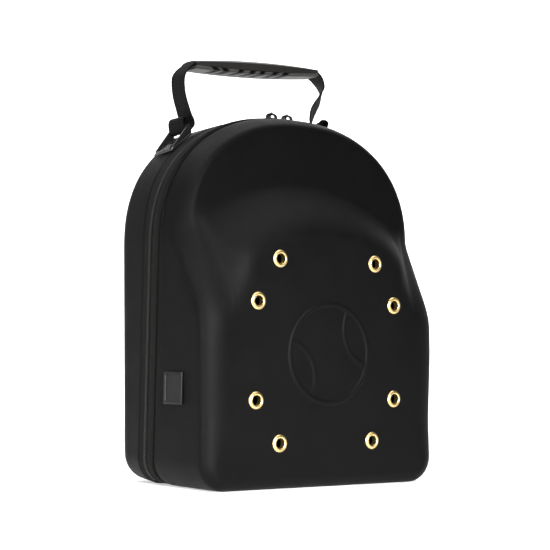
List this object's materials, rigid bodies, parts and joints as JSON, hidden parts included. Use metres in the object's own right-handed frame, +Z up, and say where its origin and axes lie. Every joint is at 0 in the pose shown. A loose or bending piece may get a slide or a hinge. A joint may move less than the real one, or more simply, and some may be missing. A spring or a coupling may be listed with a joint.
{
  "type": "baseball cap carrier case",
  "caption": "Arched moulded clamshell case for baseball caps, with a zip round its joint, a bulging front with brass eyelets and a carry handle.",
  "frame": {"origin": "middle of the bottom face, under the middle of the whole case with its handle", "axes": "+Z up to the handle, -Y out of the bulging front, +X to the viewer's right when the front is seen"},
  "size_m": [0.248, 0.1342, 0.3608],
  "materials": {
    "shell_cloth": "moulded EVA foam under smooth woven black cloth",
    "zip_cloth": "woven zip tape and binding",
    "webbing_cloth": "ribbed black webbing",
    "coil_plastic": "nylon coil",
    "slider_paint": "black enamelled zinc",
    "anchor_plastic": "glossy moulded plastic",
    "grip_rubber": "soft grey-black moulded rubber",
    "pad_plastic": "satin moulded plastic",
    "patch_rubber": "moulded rubber patch",
    "brass": "polished"
  },
  "bodies": {
    "case": {"back_shell": "shell_cloth", "front_shell": "shell_cloth", "back_tape": "zip_cloth", "front_tape": "zip_cloth", "hinge_strip": "zip_cloth", "zip_coil": "coil_plastic", "slider_left": "slider_paint", "slider_right": "slider_paint", "anchor_left": "anchor_plastic", "anchor_right": "anchor_plastic", "handle_webbing": "webbing_cloth", "grip_pad": "pad_plastic", "grip_body": "grip_rubber", "side_patch": "patch_rubber", "eyelet_1": "brass", "eyelet_2": "brass", "eyelet_3": "brass", "eyelet_4": "brass", "eyelet_5": "brass", "eyelet_6": "brass", "eyelet_7": "brass", "eyelet_8": "brass"},
    "pull_left_tab": {"pull_left": "slider_paint"},
    "pull_right_tab": {"pull_right": "slider_paint"}
  },
  "joints": [
    {"name": "pull_left_hinge", "type": "hinge", "parent": "case", "child": "pull_left_tab", "pos_m": [-0.0072, 0.00573, 0.3111], "axis": [1, 0, 0], "range_deg": [0, 165]},
    {"name": "pull_right_hinge", "type": "hinge", "parent": "case", "child": "pull_right_tab", "pos_m": [0.0092, 0.00573, 0.3111], "axis": [1, 0, 0], "range_deg": [0, 165]}
  ]
}
